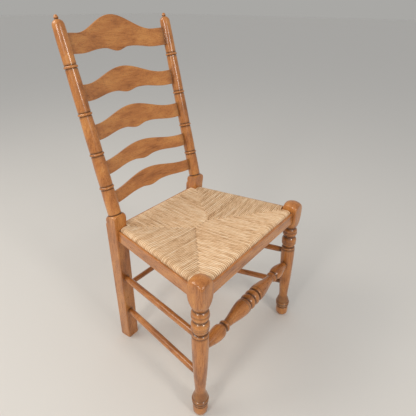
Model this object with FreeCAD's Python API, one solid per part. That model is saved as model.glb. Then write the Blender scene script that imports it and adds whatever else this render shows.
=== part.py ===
import FreeCAD, Part
import math
import os
from FreeCAD import Vector

# Ladderback side chair with a rush seat. Sizes in millimetres.
# The sitter faces -Y, so the sitter's right hand is on the -X side. +Z is up.
# Pieces are laid out with y = 0 through the front-leg centres; the finished
# chair is then moved so that its outline is centred on the origin.

# Plan of the four legs
front_leg_spacing = 520.0
rear_foot_spacing = 351.0
rear_bend_spacing = 398.0
post_top_spacing = 429.0
rear_foot_setback = 399.0
rear_bend_setback = 388.5
back_rake = 14.65

# Heights
seat_height = 460.0
head_above_seat = 31.5
block_above_seat = 48.5

# Fits, and how far a cutting shape runs past what it cuts
joint_clearance = 0.2
soft_clearance = 0.3
cut_margin = 100.0

# Front legs
head_width = 52.0
head_corner_radius = 8.0
head_below_seat = 69.0
head_flare_height = 10.0
head_taper_length = 34.0
dome_height = 22.0
dome_margin = 1.0
dome_bulge = 1.6
dome_crown_height = 6.0
dome_crown_radius = 24.0
neck_radius = 19.8
leg_bead_radius = 25.6
leg_bead_length = 34.5
leg_groove_radius = 20.4
collar_radius = 21.8
collar_length = 11.0
collar_round = 1.6
shaft_radius = 23.7
shaft_full_height = 236.0
ankle_radius = 14.8
ankle_height = 88.0
foot_bell_shoulder_radius = 24.0
foot_bell_shoulder_height = 63.0
foot_bell_radius = 25.5
foot_bell_height = 50.0
foot_groove_radius = 20.8
foot_groove_top = 42.0
foot_pad_radius = 22.4
foot_pad_height = 34.0
foot_round_height = 14.0
foot_round_bulge = 2.4
foot_tip_radius = 12.5
turned_step = 2.0

# Rear posts
rear_foot_width = 43.0
rear_block_width = 46.5
rear_leg_arris = 3.0
rear_foot_chamfer = 2.0
post_low_radius = 20.8
post_high_radius = 17.4
post_neck_radius = 18.8
post_neck_height = 3.0
post_neck_step = 1.5
post_root_length = 14.0
block_shoulder_drop = 13.0
block_shoulder_rise = 2.2
block_shoulder_bulge = 3.4
block_crown_radius = 20.3
ring_radius_step = 2.4
ring_length = 8.0
ring_step = 0.6
post_shoulder = 4.0
finial_neck_radius = 5.5
finial_radius = 6.5
finial_tip_radius = 2.6
finial_height = 13.0
finial_flat = 4.4

# Back slats from the bottom one up
slat_thickness = 9.5
slat_tenon_inset = 4.0
slat_end_depths = [39.8, 43.0, 48.6, 49.6, 59.0]
slat_crest_rises = [20.0, 18.5, 27.0, 32.5, 45.5]
slat_crest_reaches = [172.0, 172.0, 170.0, 168.0, 157.0]
slat_arches = [4.0, 5.5, 6.8, 7.5, 6.0]
slat_drops = [2.4, 0.5, 1.4, 0.0, 4.6]
slat_bows = [27.0, 30.0, 33.0, 33.5, 34.0]
slat_gaps = [56.3, 66.6, 70.3, 87.4]
first_slat_gap = 29.6
top_slat_margin = 35.0
drop_half_width = 48.0
arch_flat_half_width = 60.0
ring_shares = [0.43, 0.46, 0.52, 0.61]

# Seat
strip_thickness = 7.0
strip_height = 37.0
strip_edge_radius = 2.0
strip_inset_front = 15.8
strip_inset_rear = 9.8
rush_crown = 8.0
rush_round = 16.0
rush_centre_drop = 15.0
rush_centre_thickness = 16.0
rush_sag = 2.5
rush_wall = 5.5
rush_slack = 1.5
rush_notch_clearance = 0.6
seam_half_length = 32.0
seam_setback = 199.0
rail_radius = 12.0
rail_end_radius = 9.0
rail_end_taper = 4.0
rail_tenon_width = 7.0
rail_tenon_height = 8.0
rail_tenon_length = 21.0
rail_tenon_step = 0.5
pin_width = 1.6
pin_length = 19.0
pin_clearance = 0.1
pin_end_margin = 45.0
stuffing_seam_gap = 6.0
stuffing_mitre_gap = 2.0
stuffing_slack = 1.5

# Stretchers
front_stretcher_below_seat = 219.0
stretcher_bead_radius = 26.5
stretcher_bead_length = 26.0
stretcher_groove_radius = 19.5
stretcher_vase_radius = 25.2
stretcher_vase_full = 30.0
stretcher_vase_hollow = 1.5
stretcher_neck_radius = 12.6
stretcher_ring_radius = 18.0
stretcher_ring_length = 11.0
stretcher_step = 3.0
stretcher_pear_radius = 22.0
stretcher_pear_length = 84.0
stretcher_pear_rise = 9.0
stretcher_pear_full = 21.0
stretcher_end_radius = 10.5
side_upper_below_seat_front = 171.0
side_upper_below_seat_rear = 192.0
side_lower_height_front = 149.0
side_lower_height_rear = 122.0
side_stretcher_radius = 10.4
side_stretcher_rear_radius = 8.2
side_stretcher_front_radius = 9.6
side_stretcher_swell = 28.0
rear_stretcher_height = 213.0
rear_stretcher_radius = 9.0
stretcher_depth = 14.0
stretcher_shoulder = 4.0

# Values worked out from the sizes above
half_front = front_leg_spacing / 2
bend_height = seat_height + block_above_seat
rake = math.radians(back_rake)
foot_centre = Vector(rear_foot_spacing / 2, rear_foot_setback, 0)
bend_centre = Vector(rear_bend_spacing / 2, rear_bend_setback, bend_height)
slat_stack = sum(slat_end_depths) + sum(slat_gaps)
back_length = first_slat_gap + slat_stack + top_slat_margin
post_top = Vector(
    post_top_spacing / 2,
    rear_bend_setback + back_length * math.sin(rake),
    bend_height + back_length * math.cos(rake),
)
post_axis_length = (post_top - bend_centre).Length
post_stretch = post_axis_length / back_length
rush_thickness = 2 * (rail_radius + rush_wall + rush_slack)
rail_height = seat_height + rush_crown - rush_thickness / 2
rail_inset = rush_wall + soft_clearance + rail_radius


def arc_points(start, end, bulge, steps):
    """Points on the round stretch from start to end that stands out by bulge."""
    chord = end - start
    half = chord.Length / 2
    radius = (half * half + bulge * bulge) / (2 * bulge)
    outward = Vector(chord.z, 0, -chord.x).normalize()
    hub = (start + end) * 0.5 + outward * (bulge - radius)
    opening = 4 * math.atan(bulge / half)
    points = []
    for step in range(1, steps):
        spin = math.degrees(opening * step / steps)
        turned = FreeCAD.Rotation(Vector(0, -1, 0), spin)
        points.append(hub + turned.multVec(start - hub))
    return points + [end]


def turn(stops):
    """Solid of revolution about Z from stops of (height, radius) or of
    (height, radius, bulge, steps), where a round stretch leads up to the stop."""
    first = Vector(stops[0][1], 0, stops[0][0])
    points = [Vector(0, 0, first.z), first]
    for stop in stops[1:]:
        here = Vector(stop[1], 0, stop[0])
        if len(stop) == 4:
            points += arc_points(points[-1], here, stop[2], stop[3])
        else:
            points.append(here)
    if points[-1].x > 0:
        points.append(Vector(0, 0, points[-1].z))
    points.append(points[0])
    face = Part.Face(Part.makePolygon(points))
    return face.revolve(Vector(0, 0, 0), Vector(0, 0, 1), 360)


def along(solid, start, end):
    """Copy of a solid modelled up Z, with its base at start, aimed at end."""
    copy = solid.copy()
    turned = FreeCAD.Rotation(Vector(0, 0, 1), end - start)
    copy.Placement = FreeCAD.Placement(start, turned)
    return copy


def rod(start, end, radius):
    """Plain round bar between two points."""
    return Part.makeCylinder(radius, (end - start).Length, start, end - start)


def mirrored(shape):
    """The same piece on the sitter's right."""
    return shape.mirror(Vector(0, 0, 0), Vector(1, 0, 0))


def prism(corners, low, high):
    """Upright block over a plan outline of (x, y) corners."""
    points = [Vector(x, y, low) for x, y in corners]
    face = Part.Face(Part.makePolygon(points + points[:1]))
    return face.extrude(Vector(0, 0, high - low))


def block(centre, across, deep, low, high):
    """Upright block with its plan centred on a point."""
    corner = Vector(centre.x - across / 2, centre.y - deep / 2, low)
    return Part.makeBox(across, deep, high - low, corner)


def rounded_square(width, corner_radius, centre):
    """Closed wire of a square with round corners, level at its centre."""
    half = width / 2
    flat = half - corner_radius
    diagonal = flat + corner_radius * math.cos(math.pi / 4)
    edges = []
    for quarter in range(4):
        spin = FreeCAD.Rotation(Vector(0, 0, 1), 90 * quarter)
        marks = [(half, -flat), (half, flat), (diagonal, diagonal), (flat, half)]
        a, b, c, d = [spin.multVec(Vector(x, y, 0)) + centre for x, y in marks]
        edges.append(Part.makeLine(a, b))
        edges.append(Part.Arc(b, c, d).toShape())
    return Part.Wire(edges)


def tapered_square(low_centre, low_width, high_centre, high_width, corner_radius):
    """Leaning square bar with softened long corners."""
    low, high = low_width / 2, high_width / 2
    bar = Part.makeWedge(
        low_centre.x - low, low_centre.z, -low_centre.y - low,
        -high_centre.y - high, high_centre.x - high,
        low_centre.x + low, high_centre.z, -low_centre.y + low,
        -high_centre.y + high, high_centre.x + high,
    )
    bar.rotate(Vector(0, 0, 0), Vector(1, 0, 0), 90)
    corners = [edge for edge in bar.Edges if edge.BoundBox.ZLength > 1]
    return bar.makeFillet(corner_radius, corners)


def mix(start, end, share):
    return start + (end - start) * share


# Where the legs are at a height

def rear_leg_centre(height):
    return mix(foot_centre, bend_centre, height / bend_height)


def rear_leg_half(height):
    return (rear_foot_width + (rear_block_width - rear_foot_width) * height / bend_height) / 2


def rear_leg_bar(clearance):
    """The leaning square leg up through its block, with room round it."""
    above = bend_height + post_root_length
    return tapered_square(
        rear_leg_centre(0), 2 * (rear_leg_half(0) + clearance),
        rear_leg_centre(above), 2 * (rear_leg_half(above) + clearance),
        rear_leg_arris,
    )


def leg_room(clearance):
    """Room for the four legs to pass the seat's corners."""
    width = head_width + 2 * clearance
    low = seat_height - cut_margin
    left = [block(Vector(half_front, 0, 0), width, width, low, seat_height + cut_margin)]
    left.append(rear_leg_bar(clearance))
    return left + [mirrored(shape) for shape in left]


def back_point(distance):
    """Point of the left post's axis at a distance up the slope of the back."""
    return mix(bend_centre, post_top, distance / back_length)


# Front leg

def head_stops(neck, top):
    """Turned limits of the square head: a domed top over a rounded underside."""
    corner = head_width / math.sqrt(2) - head_corner_radius * (math.sqrt(2) - 1)
    envelope = corner + dome_margin
    return [
        (neck + head_flare_height, head_width / 2),
        (neck + head_taper_length, envelope),
        (top - dome_height, envelope),
        (top - dome_crown_height, dome_crown_radius, dome_bulge, 2),
        (top, 0),
    ]


def front_leg_blank():
    neck = seat_height - head_below_seat
    top = seat_height + head_above_seat
    bead_bulge = leg_bead_radius - leg_groove_radius
    beads_top = neck - turned_step
    beads_middle = beads_top - leg_bead_length
    beads_low = beads_middle - leg_bead_length
    collar_low = beads_low - collar_length
    stops = [
        (0, foot_tip_radius),
        (foot_round_height, foot_pad_radius, foot_round_bulge, 2),
        (foot_pad_height, foot_pad_radius),
        (foot_pad_height + turned_step, foot_groove_radius),
        (foot_groove_top, foot_groove_radius),
        (foot_bell_height, foot_bell_radius),
        (foot_bell_shoulder_height, foot_bell_shoulder_radius),
        (ankle_height, ankle_radius),
        (shaft_full_height, shaft_radius),
        (collar_low - turned_step, shaft_radius),
        (collar_low, collar_radius - collar_round),
        (collar_low + turned_step, collar_radius),
        (beads_low - turned_step, collar_radius),
        (beads_low, leg_groove_radius),
        (beads_middle, leg_groove_radius, bead_bulge, 3),
        (beads_top, leg_groove_radius, bead_bulge, 3),
        (neck, neck_radius),
    ]
    stops += head_stops(neck, top)
    turning = turn(stops)
    low = Vector(0, 0, beads_top)
    square = Part.Face(rounded_square(head_width, head_corner_radius, low))
    square = square.extrude(Vector(0, 0, top + cut_margin - low.z))
    waste = Part.makeCylinder(head_width, top + turned_step - low.z, low).cut(square)
    return turning.cut(waste)


# Rear post: a square tapered leg below the seat and a turned, raked post above

def ring_stops(place, radius):
    """A small bead that stands out of the post."""
    half = ring_length / 2
    return [
        (place - half, radius),
        (place + half, radius, ring_radius_step, 3),
    ]


def post_radius(place):
    """Radius of the turned post, which thins towards its top."""
    share = place / post_axis_length
    return post_low_radius + (post_high_radius - post_low_radius) * share


def slat_places():
    """Distance up the back of each slat's middle at the posts."""
    places = []
    reach = first_slat_gap
    for number, depth in enumerate(slat_end_depths):
        places.append(reach + depth / 2)
        reach += depth
        if number < len(slat_gaps):
            reach += slat_gaps[number]
    return places


def ring_places():
    """Distance along the post's axis of each ring, one between two slats."""
    places = []
    for number, middle in enumerate(slat_places()[:-1]):
        low = middle + slat_end_depths[number] / 2
        places.append((low + slat_gaps[number] * ring_shares[number]) * post_stretch)
    return places


def post_blank():
    places = ring_places()
    radius = post_radius(places[0] / 2)
    stops = [
        (-post_root_length, post_neck_radius),
        (post_neck_height, post_neck_radius),
        (post_neck_height + post_neck_step, radius),
    ]
    for place, following in zip(places, places[1:] + [post_axis_length]):
        stops += ring_stops(place, radius)
        radius = post_radius((place + following) / 2)
        stops.append((place + ring_length / 2 + ring_step, radius))
    finial_middle = post_axis_length + finial_height / 2
    stops += [
        (post_axis_length - post_shoulder, radius),
        (post_axis_length, finial_neck_radius),
        (finial_middle - finial_flat / 2, finial_radius),
        (finial_middle + finial_flat / 2, finial_radius),
        (post_axis_length + finial_height, finial_tip_radius),
    ]
    turned = along(turn(stops), bend_centre, post_top)

    # Round-shouldered top of the square block
    corner = rear_block_width / math.sqrt(2) - rear_leg_arris * (math.sqrt(2) - 1)
    envelope = along(turn([
        (-bend_height, corner + block_shoulder_drop),
        (-block_shoulder_drop * 2, corner + turned_step * 2),
        (-block_shoulder_drop, corner),
        (block_shoulder_rise, block_crown_radius, block_shoulder_bulge, 4),
    ]), bend_centre, post_top)
    leg = rear_leg_bar(0)
    split_height = bend_height - block_above_seat / 2
    split = block(bend_centre, cut_margin, cut_margin, split_height, bend_height + cut_margin)
    upper = leg.common(split).common(envelope)
    lower = leg.cut(split)
    foot_edges = [edge for edge in lower.Edges if edge.BoundBox.ZMax < rear_foot_chamfer]
    lower = lower.makeChamfer(rear_foot_chamfer, foot_edges)
    return lower.fuse([upper, turned]).removeSplitter()


# Back slats

def chord_half(number):
    return back_point(slat_places()[number]).x


def bowed_plate(number, reach, thickness, low, high):
    """Plate bent backwards between the posts; it stands in the XZ plane."""
    half = chord_half(number)
    bow = slat_bows[number]
    radius = (half * half + bow * bow) / (2 * bow)
    hub = Vector(0, bow - radius, low)
    outer = Part.makeCylinder(radius + thickness / 2, high - low, hub)
    inner = Part.makeCylinder(radius - thickness / 2, high - low, hub)
    corner = Vector(-reach, -cut_margin, low)
    window = Part.makeBox(reach * 2, bow + 2 * cut_margin, high - low, corner)
    return outer.cut(inner).common(window)


def crest_height(number, x):
    """Top edge of a slat: level at the posts, one smooth hump in the middle."""
    reach = slat_crest_reaches[number]
    level = slat_end_depths[number] / 2
    if abs(x) >= reach:
        return level
    return level + slat_crest_rises[number] * (1 + math.cos(math.pi * x / reach)) / 2


def lower_height(number, x):
    """Lower edge of a slat: a shallow arch with a drop in its middle."""
    level = -slat_end_depths[number] / 2
    reach = slat_crest_reaches[number]
    lift = slat_arches[number]
    if abs(x) >= reach:
        return level
    if abs(x) > arch_flat_half_width:
        share = (abs(x) - arch_flat_half_width) / (reach - arch_flat_half_width)
        return level + lift * (1 + math.cos(math.pi * share)) / 2
    if abs(x) >= drop_half_width:
        return level + lift
    drop = (lift + slat_drops[number]) * (1 + math.cos(math.pi * x / drop_half_width)) / 2
    return level + lift - drop


def smooth_edge(height_at, number, marks):
    """Curve through the outline at the given places along the slat."""
    curve = Part.BSplineCurve()
    points = [Vector(x, -cut_margin, height_at(number, x)) for x in marks]
    level = Vector(1, 0, 0)
    curve.interpolate(Points=points, InitialTangent=level, FinalTangent=level)
    return curve.toShape()


def slat_outline(number, reach):
    """Closed outline of a slat, drawn in front of the plate."""
    crest = slat_crest_reaches[number]
    crest_marks = [crest * quarter / 4 for quarter in range(-4, 5)]
    half_marks = [
        drop_half_width / 2,
        drop_half_width,
        (arch_flat_half_width + crest) / 2,
        crest,
    ]
    lower_marks = [-mark for mark in reversed(half_marks)] + [0] + half_marks
    level = slat_end_depths[number] / 2
    corners = [Vector(x, -cut_margin, z) for x, z in (
        (-crest, level), (-reach, level), (-reach, -level), (-crest, -level),
        (crest, -level), (reach, -level), (reach, level), (crest, level),
    )]
    edges = [Part.makeLine(corners[i], corners[i + 1]) for i in range(3)]
    edges.append(smooth_edge(lower_height, number, lower_marks))
    edges += [Part.makeLine(corners[i], corners[i + 1]) for i in range(4, 7)]
    edges.append(smooth_edge(crest_height, number, crest_marks))
    return Part.Wire(edges)


def on_back(shape, number):
    """Stands a flat-modelled slat at its place on the raked back."""
    middle = back_point(slat_places()[number])
    copy = shape.copy()
    turned = FreeCAD.Rotation(Vector(1, 0, 0), -back_rake)
    copy.Placement = FreeCAD.Placement(Vector(0, middle.y, middle.z), turned)
    return copy


def back_slat(number):
    reach = chord_half(number) - slat_tenon_inset
    tallest = slat_end_depths[number] / 2 + slat_crest_rises[number] + slat_thickness
    plate = bowed_plate(number, reach, slat_thickness, -tallest, tallest)
    face = Part.Face(slat_outline(number, reach))
    slat = plate.common(face.extrude(Vector(0, 2 * cut_margin, 0)))
    return on_back(slat, number)


def slat_mortise(number):
    reach = chord_half(number) - slat_tenon_inset + joint_clearance
    half = slat_end_depths[number] / 2 + joint_clearance
    thickness = slat_thickness + 2 * joint_clearance
    return on_back(bowed_plate(number, reach, thickness, -half, half), number)


# Seat plan: the strips' outer faces, and lines set in from them

def side_line(y, inset):
    """X of the sitter's left side of the seat, set in from the strip's face."""
    front = half_front + strip_inset_front
    rear = rear_leg_centre(seat_height)
    slope = (front - rear.x - strip_inset_rear) / rear.y
    return front - slope * y - inset * math.sqrt(1 + slope * slope)


def front_line(inset):
    return -strip_inset_front + inset


def rear_line(inset):
    return rear_leg_centre(seat_height).y + strip_inset_rear - inset


def seat_corners(inset):
    """Front and rear corner of the sitter's left side of the seat."""
    front = front_line(inset)
    rear = rear_line(inset)
    return (side_line(front, inset), front), (side_line(rear, inset), rear)


# Faces of the legs that the seat fits between
head_face = half_front - head_width / 2
rear_face_x = rear_leg_centre(seat_height).x - rear_leg_half(seat_height)
rear_face_y = rear_leg_centre(seat_height).y - rear_leg_half(seat_height)
rush_inset = strip_thickness + soft_clearance


# Seat rails: round bars hidden in the rush, with stepped tenons

def rail_bar(start, end):
    """Round bar whose ends are shaved down to meet the legs."""
    length = (end - start).Length
    bar = turn([
        (0, rail_end_radius),
        (rail_end_taper, rail_radius),
        (length - rail_end_taper, rail_radius),
        (length, rail_end_radius),
    ])
    return along(bar, start, end).cut(leg_room(joint_clearance))


def rail_tenon(start, end, step, clearance):
    """Bar through a rail whose ends are its tenons, stepped up or down."""
    way = (end - start).normalize()
    up = Vector(0, 0, 1)
    reach = rail_tenon_length + clearance
    length = (end - start).Length + 2 * reach
    low = rail_tenon_step if step > 0 else -rail_tenon_step - rail_tenon_height
    width = rail_tenon_width + 2 * clearance
    height = rail_tenon_height + 2 * clearance
    corner = Vector(-width / 2, low - clearance, -reach)
    tenon = Part.makeBox(width, height, length, corner)
    frame = FreeCAD.Rotation(up.cross(way), up, way, "ZYX")
    tenon.Placement = FreeCAD.Placement(start, frame)
    return tenon


def rail_ends():
    """Start and end of the front, rear and left rails, face to face."""
    inset = rush_inset + rail_inset
    gap = joint_clearance
    spans = {
        "front": (head_face - gap, front_line(inset)),
        "rear": (rear_face_x - gap, rear_line(inset)),
    }
    ends = {}
    for name, (reach, y) in spans.items():
        ends[name] = (Vector(-reach, y, rail_height), Vector(reach, y, rail_height))
    near = head_width / 2 + gap
    far = rear_face_y - gap
    ends["side"] = (
        Vector(side_line(near, inset), near, rail_height),
        Vector(side_line(far, inset), far, rail_height),
    )
    return ends


# Rush seat: four sloping panels that meet in mitred valleys

def bend_curve(start, control, end):
    """Parabola between two points, pulled towards a third."""
    curve = Part.BezierCurve()
    curve.setPoles([start, control, end])
    return curve.toShape()


def panel_section(depth, wall):
    """Upright section across a panel, in the XZ plane, from the edge at x = 0."""
    stretch = depth / (seam_setback - front_line(rush_inset))
    top = seat_height + rush_crown - wall
    bottom = top - rush_thickness + 2 * wall
    centre_top = seat_height + rush_crown - rush_centre_drop - wall
    centre_bottom = centre_top - rush_centre_thickness + 2 * wall
    turn_in = rush_round * stretch
    half_way = (turn_in + depth) / 2
    top_edge = Vector(turn_in, 0, top)
    bottom_edge = Vector(turn_in, 0, bottom)
    top_seam = Vector(depth, 0, centre_top)
    bottom_seam = Vector(depth, 0, centre_bottom)
    nose = Vector(wall * stretch, 0, (top + bottom) / 2)
    top_control = Vector(half_way, 0, mix(top, centre_top, 0.5) - rush_sag)
    bottom_control = Vector(half_way, 0, mix(bottom, centre_bottom, 0.5))
    return Part.Wire([
        Part.Arc(bottom_edge, nose, top_edge).toShape(),
        bend_curve(top_edge, top_control, top_seam),
        Part.makeLine(top_seam, bottom_seam),
        bend_curve(bottom_seam, bottom_control, bottom_edge),
    ])


def sweep_panel(section, region):
    """Sweeps a section along a region's first side and keeps what is over it."""
    corners = [Vector(x, y, 0) for x, y in region]
    start, end = corners[0], corners[1]
    way = (end - start).normalize()
    up = Vector(0, 0, 1)
    inward = way.cross(up)
    depth = (corners[2] - start).dot(inward)
    face = Part.Face(section(depth))
    bar = face.extrude(Vector(0, (end - start).Length, 0))
    bar.Placement = FreeCAD.Placement(start, FreeCAD.Rotation(inward, way, up, "ZXY"))
    return bar.common(prism(region, seat_height - cut_margin, seat_height + cut_margin))


def seat_regions():
    """Plan of the front, rear, left and right panels, edge first."""
    (front_x, front_y), (rear_x, rear_y) = seat_corners(rush_inset)
    left_seam = (seam_half_length, seam_setback)
    right_seam = (-seam_half_length, seam_setback)
    return [
        [(front_x, front_y), (-front_x, front_y), right_seam, left_seam],
        [(-rear_x, rear_y), (rear_x, rear_y), left_seam, right_seam],
        [(rear_x, rear_y), (front_x, front_y), left_seam],
        [(-front_x, front_y), (-rear_x, rear_y), right_seam],
    ]


def rush_form(wall):
    """The seat's closed outer form, or with a wall the hollow inside it."""
    panels = []
    for region in seat_regions():
        panels.append(sweep_panel(lambda depth: panel_section(depth, wall), region))
    return panels[0].fuse(panels[1:]).removeSplitter()


def stuffing_section(depth):
    """Flat wedge that fills a panel between its rail and the seam."""
    wall = rush_wall + soft_clearance
    start = rail_inset + rail_radius + stuffing_slack
    end = depth - stuffing_seam_gap
    top = seat_height + rush_crown - wall - rush_sag - stuffing_slack
    bottom = seat_height + rush_crown - rush_thickness + wall + rush_sag
    centre = seat_height + rush_crown - rush_centre_drop - rush_centre_thickness / 2
    half_tip = rush_centre_thickness / 2 - wall
    corners = [
        Vector(start, 0, bottom), Vector(start, 0, top),
        Vector(end, 0, centre + half_tip), Vector(end, 0, centre - half_tip),
    ]
    return Part.makePolygon(corners + corners[:1])


def stuffing_pads():
    """One pad in each panel, clear of its neighbours along the mitres."""
    gaps = []
    for region in seat_regions()[:2]:
        for corner, seam in ((region[0], region[3]), (region[1], region[2])):
            start = Vector(corner[0], corner[1], seat_height - cut_margin)
            way = Vector(seam[0], seam[1], start.z) - start
            length = way.Length + stuffing_mitre_gap
            cut = Part.makeBox(stuffing_mitre_gap, length, 2 * cut_margin)
            cut.translate(Vector(-stuffing_mitre_gap / 2, 0, 0))
            frame = FreeCAD.Rotation(Vector(0, 1, 0), way)
            cut.Placement = FreeCAD.Placement(start, frame)
            gaps.append(cut)
    pads = []
    for region in seat_regions():
        pad = sweep_panel(stuffing_section, region)
        pads += pad.cut(gaps + leg_room(stuffing_mitre_gap)).Solids
    return pads


# Seat edge strips and their pins

def seat_strip(plan):
    strip = prism(plan, seat_height - strip_height, seat_height)
    top_edges = []
    for edge in strip.Edges:
        if edge.BoundBox.ZMin > seat_height - strip_height / 2 and edge.Length > strip_height:
            top_edges.append(edge)
    strip = strip.makeFillet(strip_edge_radius, top_edges)
    return strip.cut(leg_room(joint_clearance))


def strip_plans():
    """Plan of the front, rear and left strips, each from leg to leg."""
    rear = rear_leg_centre(seat_height)
    spans = {
        "front": (half_front, front_line(0), front_line(strip_thickness)),
        "rear": (rear.x, rear_line(0), rear_line(strip_thickness)),
    }
    plans = {}
    for name, (reach, outer, inner) in spans.items():
        plans[name] = [(-reach, outer), (reach, outer), (reach, inner), (-reach, inner)]
    plans["side"] = [
        (side_line(0, 0), 0), (side_line(rear.y, 0), rear.y),
        (side_line(rear.y, strip_thickness), rear.y), (side_line(0, strip_thickness), 0),
    ]
    return plans


def pin(head, tip, width):
    """Square brad between two points."""
    brad = Part.makeBox(width, width, (tip - head).Length, Vector(-width / 2, -width / 2, 0))
    return along(brad, head, tip)


def pin_lines():
    """Head and tip of each pin, driven level through the strips into the rails."""
    lines = []
    for y, inward in ((front_line(0), 1), (rear_line(0), -1)):
        half = (head_face if inward > 0 else rear_face_x) - pin_end_margin
        for x in (-half, 0, half):
            head = Vector(x, y, rail_height)
            lines.append((head, head + Vector(0, inward * pin_length, 0)))
    near = head_width / 2 + pin_end_margin
    far = rear_face_y - pin_end_margin
    for side in (-1, 1):
        for y in (near, (near + far) / 2, far):
            head = Vector(side * side_line(y, 0), y, rail_height)
            lines.append((head, head - Vector(side * pin_length, 0, 0)))
    return lines


# Stretchers

def front_stretcher_blank(half_length):
    """Turned stretcher, standing on its middle with both halves alike."""
    bead = stretcher_bead_length
    groove = stretcher_groove_radius
    vase_start = bead + stretcher_step
    neck = half_length - stretcher_pear_length - stretcher_ring_length
    ring_end = neck + stretcher_ring_length
    pear_start = ring_end + stretcher_pear_rise
    half = [
        (bead, groove, stretcher_bead_radius - groove, 3),
        (vase_start, stretcher_vase_radius),
        (vase_start + stretcher_vase_full, stretcher_vase_radius),
        (neck, stretcher_neck_radius, -stretcher_vase_hollow, 2),
        (neck + stretcher_step, stretcher_ring_radius),
        (ring_end - stretcher_step, stretcher_ring_radius),
        (ring_end, stretcher_neck_radius),
        (pear_start, stretcher_pear_radius),
        (pear_start + stretcher_pear_full, stretcher_pear_radius),
        (half_length, stretcher_end_radius),
        (half_length + stretcher_depth, stretcher_end_radius),
    ]
    upper = turn([(0, groove)] + half)
    return upper.fuse(upper.mirror(Vector(0, 0, 0), Vector(0, 0, 1))).removeSplitter()


def side_stretcher_blank(length):
    """Slim turned bar, thinnest at the rear leg, standing on its rear end."""
    rear_end = stretcher_depth + stretcher_shoulder
    front_end = length - stretcher_depth - stretcher_shoulder
    return turn([
        (0, side_stretcher_rear_radius),
        (rear_end, side_stretcher_rear_radius),
        (rear_end + side_stretcher_swell, side_stretcher_radius),
        (front_end - side_stretcher_swell / 2, side_stretcher_radius),
        (front_end, side_stretcher_front_radius),
        (length, side_stretcher_front_radius),
    ])


def side_stretcher_ends(front_height, rear_height):
    """Ends of a left side stretcher, sunk into the front and rear legs."""
    front_axis = Vector(half_front, 0, front_height)
    rear_axis = rear_leg_centre(rear_height)
    way = (rear_axis - front_axis).normalize()
    front_reach = shaft_radius - turned_step - stretcher_depth
    rear_reach = rear_leg_half(rear_height) - stretcher_depth
    return rear_axis - way * rear_reach, front_axis + way * front_reach


def bore(start, end, radius):
    """Hole for a round end, a little wider and deeper than it."""
    way = (end - start).normalize()
    return rod(start, end + way * joint_clearance, radius + joint_clearance)


def build_chair():
    """Every piece by its node's name, laid out on the front-leg centres."""
    pieces = {}

    # Front legs, bored for the stretchers and mortised for the seat rails
    leg = front_leg_blank()
    leg.translate(Vector(half_front, 0, 0))
    post = post_blank()

    ends = rail_ends()
    rails = {}
    for name, step in (("front", 1), ("rear", 1), ("side", -1)):
        start, end = ends[name]
        rails[name] = rail_bar(start, end)
        rails[name] = rails[name].fuse(rail_tenon(start, end, step, 0)).removeSplitter()
        hole = rail_tenon(start, end, step, joint_clearance)
        leg = leg.cut(hole)
        post = post.cut(hole)

    stretcher_height = seat_height - front_stretcher_below_seat
    half_run = half_front - shaft_radius
    middle = Vector(0, 0, stretcher_height)
    front_stretcher = along(front_stretcher_blank(half_run), middle, middle + Vector(1, 0, 0))
    tip = Vector(half_run + stretcher_depth, 0, stretcher_height)
    leg = leg.cut(bore(middle, tip, stretcher_end_radius))

    side_levels = {
        "upper": (seat_height - side_upper_below_seat_front, seat_height - side_upper_below_seat_rear),
        "lower": (side_lower_height_front, side_lower_height_rear),
    }
    for level, (front_height, rear_height) in side_levels.items():
        rear, front = side_stretcher_ends(front_height, rear_height)
        bar = along(side_stretcher_blank((front - rear).Length), rear, front)
        pieces["side_stretcher_" + level + "_left"] = bar
        pieces["side_stretcher_" + level + "_right"] = mirrored(bar)
        inside = mix(rear, front, 0.5)
        leg = leg.cut(bore(inside, front, side_stretcher_front_radius))
        post = post.cut(bore(inside, rear, side_stretcher_rear_radius))

    rear_axis = rear_leg_centre(rear_stretcher_height)
    rear_tip = Vector(
        rear_axis.x - rear_leg_half(rear_stretcher_height) + stretcher_depth,
        rear_axis.y,
        rear_stretcher_height,
    )
    rear_start = Vector(-rear_tip.x, rear_tip.y, rear_tip.z)
    pieces["rear_stretcher"] = rod(rear_start, rear_tip, rear_stretcher_radius)
    post = post.cut(bore(mix(rear_start, rear_tip, 0.5), rear_tip, rear_stretcher_radius))

    # Back slats and their mortises
    for number in range(len(slat_end_depths)):
        pieces["back_slat_" + str(number + 1)] = back_slat(number)
        post = post.cut(slat_mortise(number))

    pieces["front_leg_left"] = leg
    pieces["front_leg_right"] = mirrored(leg)
    pieces["rear_post_left"] = post
    pieces["rear_post_right"] = mirrored(post)
    pieces["front_stretcher"] = front_stretcher

    # Seat: pinned strips and rails round the rush, with pads in its hollow
    plans = strip_plans()
    strips = {name: seat_strip(plan) for name, plan in plans.items()}
    rush = rush_form(0).cut(rush_form(rush_wall))
    pins = []
    holes = []
    for head, tip in pin_lines():
        before = head - (tip - head).normalize() * pin_width
        pins.append(pin(head, tip, pin_width))
        holes.append(pin(before, tip, pin_width + 2 * pin_clearance))
    rush = rush.cut(leg_room(rush_notch_clearance) + holes)
    seat_pieces = {
        "seat_rail_front": rails["front"],
        "seat_rail_rear": rails["rear"],
        "seat_rail_left": rails["side"],
        "seat_rail_right": mirrored(rails["side"]),
        "seat_strip_front": strips["front"],
        "seat_strip_rear": strips["rear"],
        "seat_strip_left": strips["side"],
        "seat_strip_right": mirrored(strips["side"]),
    }
    for name, piece in seat_pieces.items():
        pieces[name] = piece.cut(holes)
    pieces["rush_seat"] = rush
    pieces["seat_stuffing"] = Part.makeCompound(stuffing_pads())
    pieces["strip_pins"] = Part.makeCompound(pins)
    return pieces


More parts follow.
